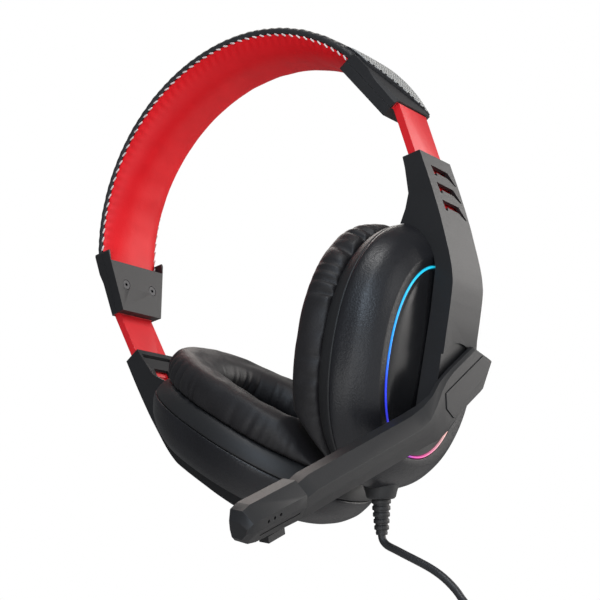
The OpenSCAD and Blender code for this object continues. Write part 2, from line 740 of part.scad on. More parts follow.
module plug_shell() {
  color([0.8, 0.8, 0.8])
    translate(plug_at - [0, 0, relief_length + grip_length + shell_length]) difference() {
    translate([-shell_width / 2, -shell_thick / 2, 0]) cube([shell_width, shell_thick, shell_length]);
    translate([shell_sheet - shell_width / 2, shell_sheet - shell_thick / 2, -cut])
      cube([shell_width - 2 * shell_sheet, shell_thick - 2 * shell_sheet, shell_length]);
  }
}

/* ---------- nodes ---------- */

band_cover();
band_pad();
band_spring();
slider_bar();  // left_bar
cap_outer();  // left_cap_outer
cap_inner();  // left_cap_inner
cap_screws();  // left_cap_screws
other_side() slider_bar();  // right_bar
other_side() cap_outer();  // right_cap_outer
other_side() cap_inner();  // right_cap_inner
other_side() cap_screws();  // right_cap_screws
yoke(true);  // left_yoke
yoke_liner();  // left_yoke_liner
cup(true);  // left_cup
face(true);  // left_face
light();  // left_light
light_board();  // left_light_board
baffle(true);  // left_baffle
driver();  // left_driver
cone();  // left_cone
cushion();  // left_cushion
cloth();  // left_cloth
cup_screws();  // left_screws
yoke_screws();  // left_yoke_screws
other_side() yoke(false);  // right_yoke
other_side() yoke_liner();  // right_yoke_liner
other_side() cup(false);  // right_cup
other_side() face(false);  // right_face
other_side() light();  // right_light
other_side() light_board();  // right_light_board
other_side() baffle(false);  // right_baffle
other_side() driver();  // right_driver
other_side() cone();  // right_cone
other_side() cushion();  // right_cushion
other_side() cloth();  // right_cloth
other_side() cup_screws();  // right_screws
other_side() yoke_screws();  // right_yoke_screws
arm_mount();
arm_beam();
arm_panel();
arm_screw();
mic_shell();
mic_cover();
mic_capsule();
lead_collar();
lead_sleeve();
lead();
lead_coil();
coil_tie();
lead_tail();
plug_body();
plug_shell();
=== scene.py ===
"""Gaming headset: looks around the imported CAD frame. Metres, +Z up, +X the wearer's left, -Y the front."""
import bpy, bmesh, json, math
from mathutils import Matrix, Vector, noise


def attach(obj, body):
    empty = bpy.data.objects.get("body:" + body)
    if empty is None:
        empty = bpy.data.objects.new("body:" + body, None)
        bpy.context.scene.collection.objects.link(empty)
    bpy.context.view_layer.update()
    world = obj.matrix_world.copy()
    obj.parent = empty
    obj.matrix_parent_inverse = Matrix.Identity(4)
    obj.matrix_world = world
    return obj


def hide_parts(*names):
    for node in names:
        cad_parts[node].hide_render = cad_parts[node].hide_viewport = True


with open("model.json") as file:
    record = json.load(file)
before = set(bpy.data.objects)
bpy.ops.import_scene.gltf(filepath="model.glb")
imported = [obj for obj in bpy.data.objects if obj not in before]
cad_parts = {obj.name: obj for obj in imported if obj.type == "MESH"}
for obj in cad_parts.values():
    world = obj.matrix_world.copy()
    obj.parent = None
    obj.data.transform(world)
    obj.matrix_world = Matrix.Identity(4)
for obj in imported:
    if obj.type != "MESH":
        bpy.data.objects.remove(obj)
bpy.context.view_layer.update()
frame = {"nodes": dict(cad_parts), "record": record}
NODES = frame["nodes"]
MM = 0.001

# ---------------------------------------------------------------- camera, world, floor and lights
RIGHT = Vector((0.73493, 0.59622, -0.32310))
UP = Vector((0.51028, -0.17240, 0.84255))
BACK = Vector((0.44665, -0.78409, -0.43094))
CAMERA_AT = Vector((0.2519, -0.4363, -0.1985))
LENS_MM, SENSOR_MM = 81.55, 36
FLOOR_Z = -0.32


def make_camera():
    data = bpy.data.cameras.new("camera")
    data.lens = LENS_MM
    data.sensor_width = SENSOR_MM
    data.clip_start = 0.01
    data.clip_end = 20
    cam = bpy.data.objects.new("camera", data)
    bpy.context.scene.collection.objects.link(cam)
    m = Matrix((RIGHT, UP, BACK)).transposed().to_4x4()
    m.translation = CAMERA_AT
    cam.matrix_world = m
    bpy.context.scene.camera = cam


def make_world():
    world = bpy.data.worlds.new("studio")
    bpy.context.scene.world = world
    world.use_nodes = True
    nt = world.node_tree
    nt.nodes.clear()
    out = nt.nodes.new("ShaderNodeOutputWorld")
    mix = nt.nodes.new("ShaderNodeMixShader")
    path = nt.nodes.new("ShaderNodeLightPath")
    dim = nt.nodes.new("ShaderNodeBackground")
    bright = nt.nodes.new("ShaderNodeBackground")
    dim.inputs[0].default_value = (0.95, 0.97, 1, 1)
    dim.inputs[1].default_value = 0.17
    bright.inputs[0].default_value = (1, 1, 1, 1)
    bright.inputs[1].default_value = 1.0
    nt.links.new(path.outputs["Is Camera Ray"], mix.inputs[0])
    nt.links.new(dim.outputs[0], mix.inputs[1])
    nt.links.new(bright.outputs[0], mix.inputs[2])
    nt.links.new(mix.outputs[0], out.inputs[0])


def area_light(name, at, target, size, power, color=(1, 1, 1)):
    data = bpy.data.lights.new(name, "AREA")
    data.shape = "RECTANGLE"
    data.size, data.size_y = size
    data.energy = power
    data.color = color
    obj = bpy.data.objects.new(name, data)
    bpy.context.scene.collection.objects.link(obj)
    obj.location = at
    obj.rotation_euler = (Vector(target) - Vector(at)).to_track_quat("-Z", "Y").to_euler()


make_camera()
make_world()
MIDDLE = (0, 0, 0.04)
area_light("side", (0.75, 0.95, 0.1), MIDDLE, (0.7, 1.0), 10.5, (1, 0.97, 0.94))
area_light("front", (0.75, -1.0, 0.25), MIDDLE, (0.3, 0.6), 5.6, (0.7, 0.84, 1))
area_light("right", (1.25, -0.15, -0.1), MIDDLE, (0.5, 0.8), 2.6)
area_light("top", (-0.2, 0.5, 1.2), MIDDLE, (0.7, 0.7), 8, (1, 0.95, 0.9))
area_light("low", (0.1, -0.6, -0.24), (0, 0, 0.1), (0.6, 0.3), 1.2)
area_light("pad", (0.55, -0.35, 0.62), (-0.05, 0, 0.12), (0.25, 0.25), 2.6)
bpy.context.scene.view_settings.view_transform = "Standard"


# ---------------------------------------------------------------- materials
def new_material(name):
    m = bpy.data.materials.new(name)
    m.use_nodes = True
    return m, m.node_tree, m.node_tree.nodes["Principled BSDF"]


def add(nt, kind, **values):
    n = nt.nodes.new(kind)
    for k, v in values.items():
        if k in n.inputs:
            n.inputs[k].default_value = v
        else:
            setattr(n, k, v)
    return n


def textured(name, color, rough, grain, depth, spread=0.25, kind="noise", rough_spread=0.1, metal=0.0,
             coat=0.0, spec=0.5, sheen=0.0, wave=None):
    """A material with fine grain in its bump, mottled colour and uneven gloss."""
    m, nt, b = new_material(name)
    b.inputs["Metallic"].default_value = metal
    b.inputs["Coat Weight"].default_value = coat
    b.inputs["Specular IOR Level"].default_value = spec
    b.inputs["Sheen Weight"].default_value = sheen
    at = add(nt, "ShaderNodeTexCoord")
    large = add(nt, "ShaderNodeTexNoise", Scale=60.0, Detail=4.0)
    if kind == "voronoi":
        fine = add(nt, "ShaderNodeTexVoronoi", feature="SMOOTH_F1", Scale=grain)
        fine_out = fine.outputs["Distance"]
    else:
        fine = add(nt, "ShaderNodeTexNoise", Scale=grain, Detail=3.0)
        fine_out = fine.outputs["Fac"]
    nt.links.new(at.outputs["Object"], large.inputs["Vector"])
    nt.links.new(at.outputs["Object"], fine.inputs["Vector"])
    tint = add(nt, "ShaderNodeValToRGB")
    dark = [c * (1 - spread) for c in color]
    light = [min(1, c * (1 + spread)) for c in color]
    tint.color_ramp.elements[0].color = (*dark, 1)
    tint.color_ramp.elements[0].position = 0.3
    tint.color_ramp.elements[1].color = (*light, 1)
    tint.color_ramp.elements[1].position = 0.7
    nt.links.new(large.outputs["Fac"], tint.inputs[0])
    nt.links.new(tint.outputs[0], b.inputs["Base Color"])
    gloss = add(nt, "ShaderNodeMapRange")
    gloss.inputs["To Min"].default_value = rough - rough_spread
    gloss.inputs["To Max"].default_value = rough + rough_spread
    nt.links.new(fine_out, gloss.inputs["Value"])
    nt.links.new(gloss.outputs[0], b.inputs["Roughness"])
    bump = add(nt, "ShaderNodeBump", Strength=0.5, Distance=depth)
    nt.links.new(fine_out, bump.inputs["Height"])
    nt.links.new(bump.outputs[0], b.inputs["Normal"])
    return m


def glow_material():
    m, nt, b = new_material("ring_glow")
    color = add(nt, "ShaderNodeAttribute", attribute_name="glow")
    b.inputs["Roughness"].default_value = 0.35
    b.inputs["Emission Strength"].default_value = 0.5
    nt.links.new(color.outputs["Color"], b.inputs["Base Color"])
    nt.links.new(color.outputs["Color"], b.inputs["Emission Color"])
    return m


def perforated_material():
    """Silver-grey sheet with staggered dark holes, laid out along the sheet's own UV."""
    m, nt, b = new_material("perforated_silver")
    b.inputs["Metallic"].default_value = 0.35
    b.inputs["Roughness"].default_value = 0.42
    uv = add(nt, "ShaderNodeUVMap")
    dots = add(nt, "ShaderNodeTexVoronoi", feature="F1", Scale=1.0, Randomness=0.0)
    nt.links.new(uv.outputs[0], dots.inputs["Vector"])
    ramp = add(nt, "ShaderNodeValToRGB")
    ramp.color_ramp.elements[0].color = (0.02, 0.02, 0.02, 1)
    ramp.color_ramp.elements[0].position = 0.3
    ramp.color_ramp.elements[1].color = (0.62, 0.62, 0.6, 1)
    ramp.color_ramp.elements[1].position = 0.38
    nt.links.new(dots.outputs["Distance"], ramp.inputs[0])
    nt.links.new(ramp.outputs[0], b.inputs["Base Color"])
    bump = add(nt, "ShaderNodeBump", Strength=0.8, Distance=0.0004)
    nt.links.new(ramp.outputs[0], bump.inputs["Height"])
    nt.links.new(bump.outputs[0], b.inputs["Normal"])
    return m


MATS = {
    "black_matte": textured("black_matte_plastic", (0.012, 0.012, 0.013), 0.5, 2600, 0.00005, 0.1, spec=0.42),
    "black_satin": textured("black_satin_plastic", (0.009, 0.009, 0.011), 0.39, 1500, 0.00012, 0.12,
                            kind="voronoi", rough_spread=0.08, spec=0.4),
    "black_gloss": textured("black_gloss_plastic", (0.01, 0.01, 0.011), 0.24, 900, 0.00001, 0.1,
                            rough_spread=0.04),
    "red_plastic": textured("red_plastic", (0.66, 0.012, 0.018), 0.36, 1800, 0.00003, 0.06, spec=0.5),
    "black_leatherette": textured("black_leatherette", (0.02, 0.02, 0.022), 0.5, 1500, 0.00016, 0.2,
                                  kind="voronoi"),
    "cushion_leatherette": textured("cushion_leatherette", (0.011, 0.01, 0.011), 0.55, 1900, 0.0001,
                                    0.2, kind="voronoi", rough_spread=0.08, spec=0.4),
    "red_leatherette": textured("red_leatherette", (0.76, 0.004, 0.01), 0.5, 1700, 0.00008, 0.05,
                                kind="voronoi", rough_spread=0.06, spec=0.32),
    "black_cloth": textured("black_cloth", (0.02, 0.02, 0.02), 0.9, 3200, 0.0002, 0.3, sheen=0.3),
    "black_rubber": textured("black_rubber", (0.018, 0.018, 0.019), 0.52, 1500, 0.00005, 0.15),
    "lead_jacket": textured("lead_jacket", (0.022, 0.022, 0.024), 0.45, 1400, 0.00004, 0.15),
    "spring_steel": textured("spring_steel", (0.5, 0.5, 0.52), 0.32, 500, 0.00002, 0.1, metal=1.0),
    "screw_black": textured("screw_black", (0.03, 0.03, 0.032), 0.34, 900, 0.00002, 0.15, metal=0.8),
    "screw_steel": textured("screw_steel", (0.55, 0.55, 0.56), 0.3, 900, 0.00002, 0.12, metal=1.0),
    "driver_metal": textured("driver_metal", (0.42, 0.42, 0.43), 0.35, 700, 0.00003, 0.12, metal=1.0),
    "plug_metal": textured("plug_metal", (0.72, 0.72, 0.74), 0.2, 600, 0.00001, 0.06, metal=1.0,
                           rough_spread=0.05),
    "cone_film": textured("cone_film", (0.6, 0.55, 0.4), 0.3, 300, 0.00002, 0.1),
    "board_green": textured("board_green", (0.01, 0.12, 0.04), 0.4, 400, 0.00003, 0.3),
    "thread": textured("thread", (0.72, 0.6, 0.58), 0.8, 4000, 0.0001, 0.2, sheen=0.2),
    "light_guide": glow_material(),
    "perforated": perforated_material(),
}
SLOT_OF = {s["node"]: s["material_slot"] for s in frame["record"]["subparts"]}


def set_material(obj, mat):
    obj.data.materials.clear()
    obj.data.materials.append(mat)


for name, obj in NODES.items():
    set_material(obj, MATS.get(SLOT_OF[name], MATS["black_matte"]))


# ---------------------------------------------------------------- mesh helpers
def link(name, mesh, mat, body, replaces=()):
    obj = bpy.data.objects.new(name, mesh)
    bpy.context.scene.collection.objects.link(obj)
    obj.data.materials.append(mat)
    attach(obj, body)
    if replaces:
        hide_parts(*replaces)
    return obj


def smooth(mesh, angle=None):
    mesh.shade_smooth()
    if angle is not None:
        mesh.set_sharp_from_angle(angle=math.radians(angle))


def grid_mesh(name, rows, closed_rows=False, caps=False):
    """Quads between closed rows of points; caps closes the first and last row."""
    mesh = bpy.data.meshes.new(name)
    n = len(rows[0])
    verts = [p for r in rows for p in r]
    faces = []
    row_pairs = len(rows) if closed_rows else len(rows) - 1
    for r in range(row_pairs):
        for c in range(n):
            a, b = r * n + c, r * n + (c + 1) % n
            q = ((r + 1) % len(rows)) * n
            faces.append((a, b, q + (c + 1) % n, q + c))
    if caps:
        faces.append(tuple(reversed(range(n))))
        faces.append(tuple((len(rows) - 1) * n + i for i in range(n)))
    mesh.from_pydata(verts, [], faces)
    mesh.validate()
    return mesh


def outward(mesh):
    bm = bmesh.new()
    bm.from_mesh(mesh)
    bmesh.ops.recalc_face_normals(bm, faces=bm.faces)
    bm.to_mesh(mesh)
    bm.free()


def refine(node, name, body, width=0.5, segments=2, flat=4, sharp=35):
    """A copy of a CAD node with its facets merged, its edges rounded and its shading smoothed."""
    mesh = NODES[node].data.copy()
    mesh.name = name
    bm = bmesh.new()
    bm.from_mesh(mesh)
    bmesh.ops.remove_doubles(bm, verts=bm.verts, dist=1e-5)
    bmesh.ops.dissolve_limit(bm, angle_limit=math.radians(flat), verts=bm.verts, edges=bm.edges)
    for e in bm.edges:
        e.smooth = True
    bm.to_mesh(mesh)
    bm.free()
    mesh.materials.clear()
    slot = SLOT_OF[node]
    obj = link(name, mesh, MATS[slot], body, [node])
    bevel = obj.modifiers.new("edges", "BEVEL")
    bevel.width = width * MM
    bevel.segments = segments
    bevel.limit_method = "ANGLE"
    bevel.angle_limit = math.radians(28)
    bevel.harden_normals = True
    bevel.use_clamp_overlap = True
    smooth(mesh, sharp)
    return obj


def catmull(points, per, closed=False):
    """Smooth line through points, as tuples of any length."""
    out = []
    n = len(points)
    spans = n if closed else n - 1
    for i in range(spans):
        p = [points[(i + k) % n] if closed else points[max(0, min(n - 1, i + k))] for k in (-1, 0, 1, 2)]
        for s in range(per):
            t = s / per
            t2, t3 = t * t, t * t * t
            out.append(tuple(0.5 * ((2 * b) + (c - a) * t + (2 * a - 5 * b + 4 * c - d) * t2
                                    + (3 * b - a - 3 * c + d) * t3)
                             for a, b, c, d in zip(*p)))
    if not closed:
        out.append(tuple(points[-1]))
    return out


# ---------------------------------------------------------------- the cup's frame, in mm
CUP_AT = Vector((34.7, -1.8, -4.8))
CUP_LEAN = math.radians(35.4)
CUP_U = Vector((math.cos(CUP_LEAN), 0, -math.sin(CUP_LEAN)))
CUP_D = Vector((-math.sin(CUP_LEAN), 0, -math.cos(CUP_LEAN)))
CUP_A, CUP_B, CUP_N, CUP_RISE = 51.0, 42.0, 2.2, 0.7


def cup_point(down, back, out, side):
    p = CUP_AT + CUP_D * down + Vector((0, back, 0)) + CUP_U * out
    return Vector((p.x * side, p.y, p.z)) * MM


def power(v, p):
    return math.copysign(abs(v) ** p, v)


def outline(a, b, t, n=CUP_N):
    return a * power(math.cos(t), 2 / n), b * power(math.sin(t), 2 / n)


def cup_rings(profile, side, count=144, at=(-CUP_RISE, 0)):
    """Rings from a profile of (half height, half width, height)."""
    rows = []
    for a, b, z in profile:
        row = []
        for i in range(count):
            x, y = outline(a, b, 2 * math.pi * (i + 0.5) / count)
            row.append(cup_point(x + at[0], y + at[1], z, side))
        rows.append(row)
    return rows


# Profile of the dome: outline scale and height
DOME = [(1, 0.8), (0.997, 2), (0.985, 3.9), (0.955, 7.4), (0.915, 10.1), (0.86, 12.9), (0.79, 15.3)]
RING_FRONT = -1.8


def make_cup(side, name):
    steps = catmull([(CUP_A * s, CUP_B * s, z) for s, z in DOME], 4)
    lip = [(0.982 * CUP_A, 0.982 * CUP_B, 0.03), (0.99 * CUP_A, 0.99 * CUP_B, 0.06),
           (0.997 * CUP_A, 0.997 * CUP_B, 0.3)]
    rows = cup_rings(lip + steps + [(39.9, 32.8, 15.55), (39.5, 32.3, 15.62)], side)
    mouth = cup_rings([(37.2, 27.9, 15.75), (36.7, 27.4, 15.7), (36.5, 27.2, 15.4), (36.5, 27.2, 13.9)],
                      side, at=(0, RING_FRONT))
    mesh = grid_mesh(name + "_shell", rows + mouth)
    outward(mesh)
    smooth(mesh, 40)
    obj = link(name + "_shell", mesh, MATS["black_satin"], name + "_side", [name + "_cup"])
    thick = obj.modifiers.new("wall", "SOLIDIFY")
    thick.thickness = 1.6 * MM
    thick.offset = -1
    return obj


def make_face(side, name):
    at = (0, RING_FRONT)
    profile = [(35.4, 26.1, 13.9), (35.4, 26.1, 15.4), (35.0, 25.7, 15.8), (33.8, 24.6, 16.15)]
    profile += [(33.8 - k * 3.3, 24.6 - k * 2.42, 16.15 + 1.6 * math.sin(k / 9 * math.pi / 2))
                for k in range(1, 10)]
    rows = cup_rings(profile, side, at=at)
    mesh = grid_mesh(name + "_face_plate", rows, caps=True)
    outward(mesh)
    smooth(mesh, 40)
    return link(name + "_face_plate", mesh, MATS["black_gloss"], name + "_side",
                [name + "_face"])


# Colours of the light line at angles round the cup, in degrees from its lowest point
GLOW = [(0, (0.6, 0.04, 0.34)), (16, (0.8, 0.14, 0.36)), (42, (0.85, 0.5, 0.5)),
        (75, (0.9, 0.35, 0.1)), (110, (0.2, 0.75, 0.2)), (150, (0.05, 0.8, 0.55)),
        (180, (0.02, 0.62, 0.8)), (225, (0.02, 0.55, 0.9)), (262, (0.01, 0.32, 0.92)),
        (285, (0.015, 0.05, 0.85)), (318, (0.05, 0.04, 0.6)), (344, (0.12, 0.08, 0.6)),
        (354, (0.35, 0.06, 0.5)), (360, (0.6, 0.04, 0.34))]


def glow_at(deg):
    for (a, ca), (b, cb) in zip(GLOW, GLOW[1:]):
        if a <= deg <= b:
            t = (deg - a) / (b - a)
            return [x + (y - x) * t for x, y in zip(ca, cb)]
    return GLOW[0][1]


def make_light(side, name):
    count = 144
    profile = [(35.55, 26.25, 13.9), (35.55, 26.25, 15.75), (35.7, 26.4, 15.95), (36.1, 26.8, 15.95),
               (36.25, 26.95, 15.75), (36.25, 26.95, 13.9)]
    mesh = grid_mesh(name + "_ring", cup_rings(profile, side, count, at=(0, RING_FRONT)), closed_rows=True)
    outward(mesh)
    smooth(mesh, 50)
    colors = mesh.color_attributes.new("glow", "FLOAT_COLOR", "POINT")
    for v in range(len(mesh.vertices)):
        colors.data[v].color = (*glow_at(360 * ((v % count) + 0.5) / count), 1)
    return link(name + "_ring", mesh, MATS["light_guide"], name + "_side", [name + "_light"])


def make_baffle(side, name):
    profile = [(0.9, -7.5), (0.925, -6.9), (0.952, -5.4), (0.975, -3.4), (0.99, -1.5), (0.994, -0.5),
               (0.984, -0.05)]
    steps = catmull([(CUP_A * s, CUP_B * s, z) for s, z in profile], 3)
    mesh = grid_mesh(name + "_baffle_rim", cup_rings(steps, side))
    outward(mesh)
    smooth(mesh, 60)
    obj = link(name + "_baffle_rim", mesh, MATS["black_matte"], name + "_side")
    thick = obj.modifiers.new("wall", "SOLIDIFY")
    thick.thickness = 1.2 * MM
    thick.offset = -1
    return obj


# ---------------------------------------------------------------- ear cushions
# Section of a cushion: outline scale, and part of the way from its back to its face
PAD_STEPS = [(0.895, 0), (0.94, 0.12), (0.958, 0.4), (0.945, 0.68), (0.9, 0.9), (0.82, 1.0), (0.72, 1.0),
             (0.62, 0.9), (0.56, 0.68), (0.545, 0.4), (0.56, 0.15), (0.6, 0.02), (0.75, -0.02)]
PAD_BACK, PAD_FACE, PAD_LOW, PAD_STOP = -7.7, -21.2, 44.6, 2.2
# Steps of the section at the middle of the face, and where the inner side ends
FACE_STEP, INNER_END = 5.5, 12.3


def pad_floor(down):
    return max(PAD_FACE, (PAD_STOP - CUP_AT.x + down * math.sin(CUP_LEAN)) / math.cos(CUP_LEAN))


def pad_point(scale, part, t):
    fuller = 1 + 0.04 * max(0, -math.cos(t)) ** 0.7 * (1 if scale > 0.7 else 0)
    x, y = outline(CUP_A * scale * fuller, CUP_B * scale * fuller, t)
    x = min(x - CUP_RISE, PAD_LOW)
    return x, y, PAD_BACK + part * min(-0.4, pad_floor(x) - PAD_BACK)


def crease(t, row, seed):
    """How far a point of the cushion is drawn in by its gathers, in mm."""
    around = Vector((math.cos(t) * 2.6, math.sin(t) * 2.6, seed))
    drift = 3.4 * noise.noise(around * 0.9 + Vector((9, 0, 0))) + 1.3 * noise.noise(around * 2.4)
    upper = (0.5 - 0.5 * math.cos(t)) ** 1.3
    total = 0
    for folds, gain, at, wide in ((44, 1.0, 1.0, 1.7), (31, 0.8, 10.2, 2.4)):
        wave = 0.5 + 0.5 * math.sin(folds * t + 3 * drift + (0.35 * (row - at)) * math.sin(5 * t + seed))
        patch = max(0, noise.noise(around * 1.5 + Vector((0, 5 + at, 0))) + 0.35)
        reach = math.exp(-((row - at) / wide) ** 2)
        level = 0.35 + 0.9 * upper if at < 5 else 0.8
        total += gain * wave ** 2.6 * (0.35 + 1.3 * patch) * reach * level
    return total * (1.35 + 0.7 * upper)


def make_cushion(side, name, seed):
    count, per = 288, 4
    section = catmull(PAD_STEPS, per, closed=True)
    rows = []
    for r, (s, part) in enumerate(section):
        row = []
        step = r / per
        for i in range(count):
            t = 2 * math.pi * (i + 0.5) / count
            x, y, z = pad_point(s, part, t)
            inward = crease(t, step, seed)
            d = math.hypot(x, y)
            sign = -1 if step < FACE_STEP or step > INNER_END else 1
            soft = noise.noise(Vector((x * 0.05 + seed * 3, y * 0.05, step * 0.4))) * 1.5
            ripple = noise.noise(Vector((x * 0.13, y * 0.13 + seed, step * 0.7))) * 0.6
            k = 1 + (sign * inward + soft * 0.4 + ripple * 0.5) / max(d, 1)
            face = math.exp(-((step - FACE_STEP) / 2.2) ** 2)
            z += (soft * 0.55 + ripple) * face + inward * 0.25 * (1 if step < FACE_STEP else -1) * 0.5
            p = cup_point(x * k, y * k, min(z, PAD_BACK + 0.1), 1)
            p.x = max(p.x, (PAD_STOP - 0.35) * MM)
            row.append(Vector((p.x * side, p.y, p.z)))
        rows.append(row)
    mesh = grid_mesh(name + "_ear_cushion", rows, closed_rows=True)
    outward(mesh)
    smooth(mesh)
    obj = link(name + "_ear_cushion", mesh, MATS["cushion_leatherette"], name + "_side",
               [name + "_cushion"])
    return obj


def make_cloth(side, name):
    """Thin cloth over the driver, a little slack in the middle."""
    rows = []
    for k in range(1, 13):
        s = k / 12
        row = []
        for i in range(96):
            t = 2 * math.pi * i / 96
            x, y = outline(29 * s, 23.6 * s, t)
            sag = 0.5 * (1 - s * s) + 0.12 * noise.noise(Vector((x * 0.2, y * 0.2, 3)))
            row.append(cup_point(x - CUP_RISE, y, -8.5 + sag, side))
        rows.append(row)
    mesh = grid_mesh(name + "_ear_cloth", rows)
    bm = bmesh.new()
    bm.from_mesh(mesh)
    bm.verts.ensure_lookup_table()
    bm.faces.new([bm.verts[i] for i in reversed(range(96))])
    bmesh.ops.recalc_face_normals(bm, faces=bm.faces)
    bm.to_mesh(mesh)
    bm.free()
    smooth(mesh)
    obj = link(name + "_ear_cloth", mesh, MATS["black_cloth"], name + "_side",
               [name + "_cloth"])
    thick = obj.modifiers.new("weave", "SOLIDIFY")
    thick.thickness = 0.3 * MM
    return obj


for side, name, seed in ((1, "left", 1.0), (-1, "right", 4.0)):
    make_cup(side, name)
    make_face(side, name)
    make_light(side, name)
    make_baffle(side, name)
    make_cushion(side, name, seed)
    make_cloth(side, name)
    refine(name + "_yoke", name + "_yoke_shell", name + "_side", 0.5, 3, flat=0.8)
    refine(name + "_yoke_liner", name + "_yoke_cover", name + "_side", 0.25)
    refine(name + "_cap_outer", name + "_end_cap_outer", "headband", 0.5, 3)
    refine(name + "_cap_inner", name + "_end_cap_inner", "headband", 0.5, 3)
    refine(name + "_bar", name + "_slider", "headband", 0.35, 2)

# ---------------------------------------------------------------- headband
ARC_Z = 80.0
ARC_FROM, ARC_TO = math.radians(18.9), math.radians(161.1)
SEAM_R, HALF_WIDTH, COVER_R = 79.0, 16.6, 82.45
# The pad's inner face is an arc of its own, lower than the band's
PAD_R, PAD_DROP = 79.9, 12
BAND_STEPS = 420
STITCH, STITCH_LENGTH, THREAD_R = 4.0, 2.5, 0.37


def arc_point(angle, r, y):
    return Vector((r * math.cos(angle), y, ARC_Z + r * math.sin(angle))) * MM


def pad_inner(angle):
    c, s = math.cos(angle), math.sin(angle)
    return -PAD_DROP * s + math.sqrt(PAD_R ** 2 - (PAD_DROP * c) ** 2)


def pucker(angle, y):
    """Small drawn-in waves that the stitches make near each edge, in mm."""
    edge = math.exp(-((abs(y) - 15.9) / 1.5) ** 2)
    return 0.22 * edge * math.cos(2 * math.pi * angle * SEAM_R / STITCH)


def make_pad():
    across = 26
    section = [-math.cos(math.pi * k / across) for k in range(across + 1)]
    rows = []
    for i in range(BAND_STEPS + 1):
        angle = ARC_FROM + (ARC_TO - ARC_FROM) * i / BAND_STEPS
        inner = pad_inner(angle)
        row = []
        for u in section:
            y = u * HALF_WIDTH
            rise = abs(u) ** 3.4
            r = inner + (SEAM_R - 0.5 - inner) * rise
            r += 0.35 * noise.noise(Vector((angle * 9, y * 0.09, 1))) * (1 - rise) + pucker(angle, y)
            side_bulge = 0.5 * math.sin(math.pi * min(1, rise))
            row.append(arc_point(angle, r, y + math.copysign(side_bulge, u)))
        row.append(arc_point(angle, SEAM_R - 0.1, HALF_WIDTH - 0.3))
        row.append(arc_point(angle, SEAM_R - 0.1, -HALF_WIDTH + 0.3))
        rows.append(row)
    mesh = grid_mesh("head_pad", rows, caps=True)
    outward(mesh)
    smooth(mesh)
    obj = link("head_pad", mesh, MATS["red_leatherette"], "headband", ["band_pad"])


# Section of the cover: distance from the middle, and radius
COVER_SECTION = [(-16.3, 79.0), (-16.9, 79.5), (-17.1, 80.4), (-16.7, 81.3), (-15.6, 81.9), (-12, 82.25),
                 (-6, 82.4), (0, COVER_R), (6, 82.4), (12, 82.25), (15.6, 81.9), (16.7, 81.3), (17.1, 80.4),
                 (16.9, 79.5), (16.3, 79.0), (14, 78.95), (0, 78.95), (-14, 78.95)]


def make_cover():
    section = catmull(COVER_SECTION, 3, closed=True)
    rows = []
    for i in range(BAND_STEPS + 1):
        angle = ARC_FROM + (ARC_TO - ARC_FROM) * i / BAND_STEPS
        row = []
        for y, r in section:
            bulge = 0.18 * noise.noise(Vector((angle * 14, y * 0.12, 7))) + 0.6 * pucker(angle, y)
            row.append(arc_point(angle, r + (bulge if r > 79.2 else 0), y))
        rows.append(row)
    mesh = grid_mesh("band_top_cover", rows, caps=True)
    outward(mesh)
    smooth(mesh, 70)
    obj = link("band_top_cover", mesh, MATS["black_leatherette"], "headband",
               ["band_cover"])


def tube(verts, faces, a, b, radius, sides=6):
    """A short rounded thread from a to b."""
    d = (b - a).normalized()
    n = d.cross(Vector((0.3, 1, 0.2))).normalized()
    m = d.cross(n)
    start = len(verts)
    for k, r in ((0, 0.35), (0.18, 1), (0.82, 1), (1, 0.35)):
        c = a.lerp(b, k)
        for i in range(sides):
            t = 2 * math.pi * i / sides
            verts.append(c + (n * math.cos(t) + m * math.sin(t)) * radius * r)
    for ring in range(3):
        for i in range(sides):
            p = start + ring * sides
            faces.append((p + i, p + (i + 1) % sides, p + sides + (i + 1) % sides, p + sides + i))
    faces.append(tuple(start + i for i in reversed(range(sides))))
    faces.append(tuple(start + 3 * sides + i for i in range(sides)))


def make_stitches():
    verts, faces = [], []
    count = int((ARC_TO - ARC_FROM) * SEAM_R / STITCH)
    for edge in (-1, 1):
        for i in range(count):
            a0 = ARC_FROM + (i + 0.2) * STITCH / SEAM_R
            a1 = a0 + STITCH_LENGTH / SEAM_R
            y = edge * (HALF_WIDTH + 0.28)
            tube(verts, faces, arc_point(a0, SEAM_R - 1.0, y), arc_point(a1, SEAM_R - 0.1, y + edge * 0.1),
                 THREAD_R * MM)
    mesh = bpy.data.meshes.new("band_stitching")
    mesh.from_pydata(verts, [], faces)
    outward(mesh)
    smooth(mesh)
    link("band_stitching", mesh, MATS["thread"], "headband")


# Frame of an end cap's outer face, in mm
CAP_FOOT = Vector((79.1, 0, 82.2))
CAP_TILT = math.radians(13.7)
CAP_OUT = Vector((math.cos(CAP_TILT), 0, math.sin(CAP_TILT)))
CAP_UP = Vector((-math.sin(CAP_TILT), 0, math.cos(CAP_TILT)))


def cap_point(out, back, up, side):
    p = CAP_FOOT + CAP_OUT * out + CAP_UP * up
    return Vector((p.x * side, p.y + back, p.z)) * MM


def cover_height(up):
    """How far the cover's surface, carried on over the end cap, stands out from the cap's middle."""
    p = CAP_FOOT + CAP_UP * up - Vector((0, 0, ARC_Z))
    b = p.dot(CAP_OUT)
    return -b + math.sqrt(b * b - p.length_squared + COVER_R ** 2)


# Front edge, width and hole spacing of the trim, and its top and bottom up the cap
TRIM_FRONT, TRIM_WIDTH, HOLE_PITCH = -13.4, 27.4, 1.75
TRIM_TOP, TRIM_LOW, TRIM_SLANT = 33, 23.5, 19.5


